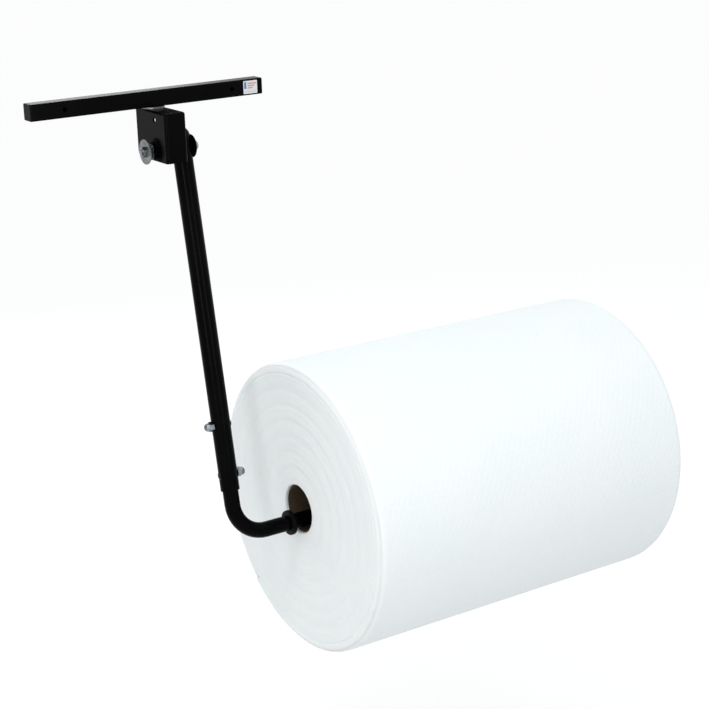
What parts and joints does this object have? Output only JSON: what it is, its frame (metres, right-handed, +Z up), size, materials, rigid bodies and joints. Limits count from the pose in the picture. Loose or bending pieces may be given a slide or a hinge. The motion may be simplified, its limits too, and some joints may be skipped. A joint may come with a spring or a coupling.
{
  "type": "bubble wrap dispenser",
  "caption": "Bench-edge roll dispenser: a bar with a swivel bracket and a swinging arm whose bent foot is the spindle for a wide roll of bubble wrap.",
  "frame": {"origin": "middle of the mount bar's back face, midway between its two screw holes", "axes": "+X along the bar and the spindle, from the arm towards the roll; +Y out of the bar's back face, into the bench; +Z up"},
  "size_m": [0.998, 0.4838, 0.9279],
  "materials": {
    "black_coat": "satin",
    "zinc": "satin",
    "black_plastic": "satin",
    "black_rubber": "matte",
    "label": "satin",
    "core": "matte",
    "wrap": "satin"
  },
  "bodies": {
    "mount": {"mount_bar": "black_coat", "bar_cap_left": "black_plastic", "bar_cap_right": "black_plastic", "bar_label": "label", "swivel_bolt": "zinc", "swivel_nut": "zinc", "swivel_washer": "zinc", "swivel_head_washer": "zinc"},
    "bracket": {"pivot_bracket": "black_coat", "pivot_bolt": "zinc", "pivot_head_washer": "zinc", "friction_disc": "black_rubber", "tension_spring": "zinc", "fender_washer": "zinc", "pivot_lock_nut": "zinc"},
    "arm": {"pivot_bushing": "black_coat", "upper_arm_tube": "black_coat", "arm_top_cap": "black_plastic", "lower_arm_tube": "black_coat", "cross_bolts": "zinc", "domed_nuts": "zinc", "retaining_collar": "black_plastic", "spindle_bushing_near": "black_plastic", "spindle_bushing_far": "black_plastic", "spindle_end_cap": "black_plastic"},
    "sleeve": {"spindle_sleeve": "black_plastic"},
    "roll": {"wrap_core": "core", "wrap_roll": "wrap"}
  },
  "joints": [
    {"name": "bracket_swivel", "type": "hinge", "parent": "mount", "child": "bracket", "pos_m": [0.0098, -0.0127, -0.0127], "axis": [0, 0, 1], "continuous": true},
    {"name": "arm_swing", "type": "hinge", "parent": "bracket", "child": "arm", "pos_m": [0.04367, -0.0327, -0.0781], "axis": [1, 0, 0], "range_deg": [-80, 40]},
    {"name": "roll_spin", "type": "hinge", "parent": "arm", "child": "roll", "pos_m": [0.15907, -0.14504, -0.67317], "axis": [1, 0, 0], "continuous": true},
    {"name": "sleeve_spin", "type": "hinge", "parent": "arm", "child": "sleeve", "pos_m": [0.20817, -0.14504, -0.69262], "axis": [1, 0, 0], "continuous": true}
  ],
  "couplings": [
    {"joint": "sleeve_spin", "follows": "roll_spin", "ratio": 2.0822}
  ]
}
